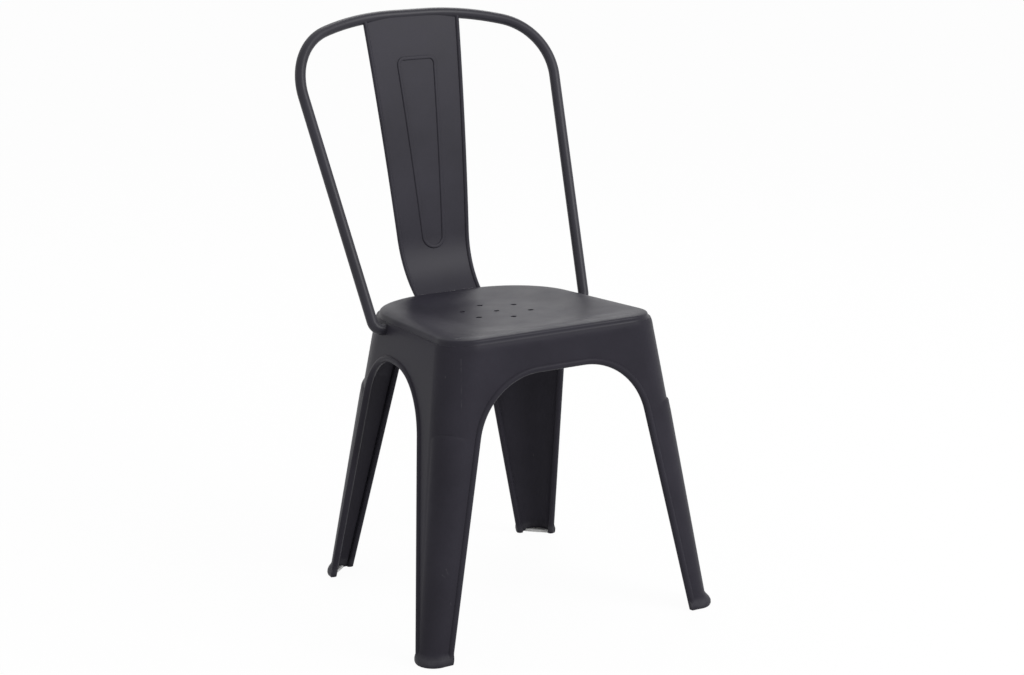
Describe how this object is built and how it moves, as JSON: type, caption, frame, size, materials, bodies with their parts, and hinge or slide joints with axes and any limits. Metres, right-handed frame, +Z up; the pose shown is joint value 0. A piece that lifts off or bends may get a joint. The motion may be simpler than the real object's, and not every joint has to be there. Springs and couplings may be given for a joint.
{
  "type": "bistro chair",
  "caption": "Stacking bistro chair of pressed sheet steel with flared corner legs, a dished seat pan, a bent tube back hoop and a pressed centre splat.",
  "frame": {"origin": "on the floor, below the middle of the chair's overall box", "axes": "+Z up, -Y the way the sitter faces, +X to the sitter's left hand"},
  "size_m": [0.4868, 0.5002, 0.8432],
  "materials": {
    "seat_coat": "satin",
    "hoop_coat": "satin",
    "splat_coat": "satin",
    "leg_coat": "satin",
    "strap_coat": "satin",
    "glide_plastic": "matte"
  },
  "bodies": {
    "root": {"seat_pan": "seat_coat", "back_hoop": "hoop_coat", "back_splat": "splat_coat", "front_left_leg": "leg_coat", "front_right_leg": "leg_coat", "rear_left_leg": "leg_coat", "rear_right_leg": "leg_coat", "brace_strap_upper": "strap_coat", "brace_strap_lower": "strap_coat", "front_left_glide": "glide_plastic", "front_right_glide": "glide_plastic", "rear_left_glide": "glide_plastic", "rear_right_glide": "glide_plastic"}
  },
  "joints": []
}
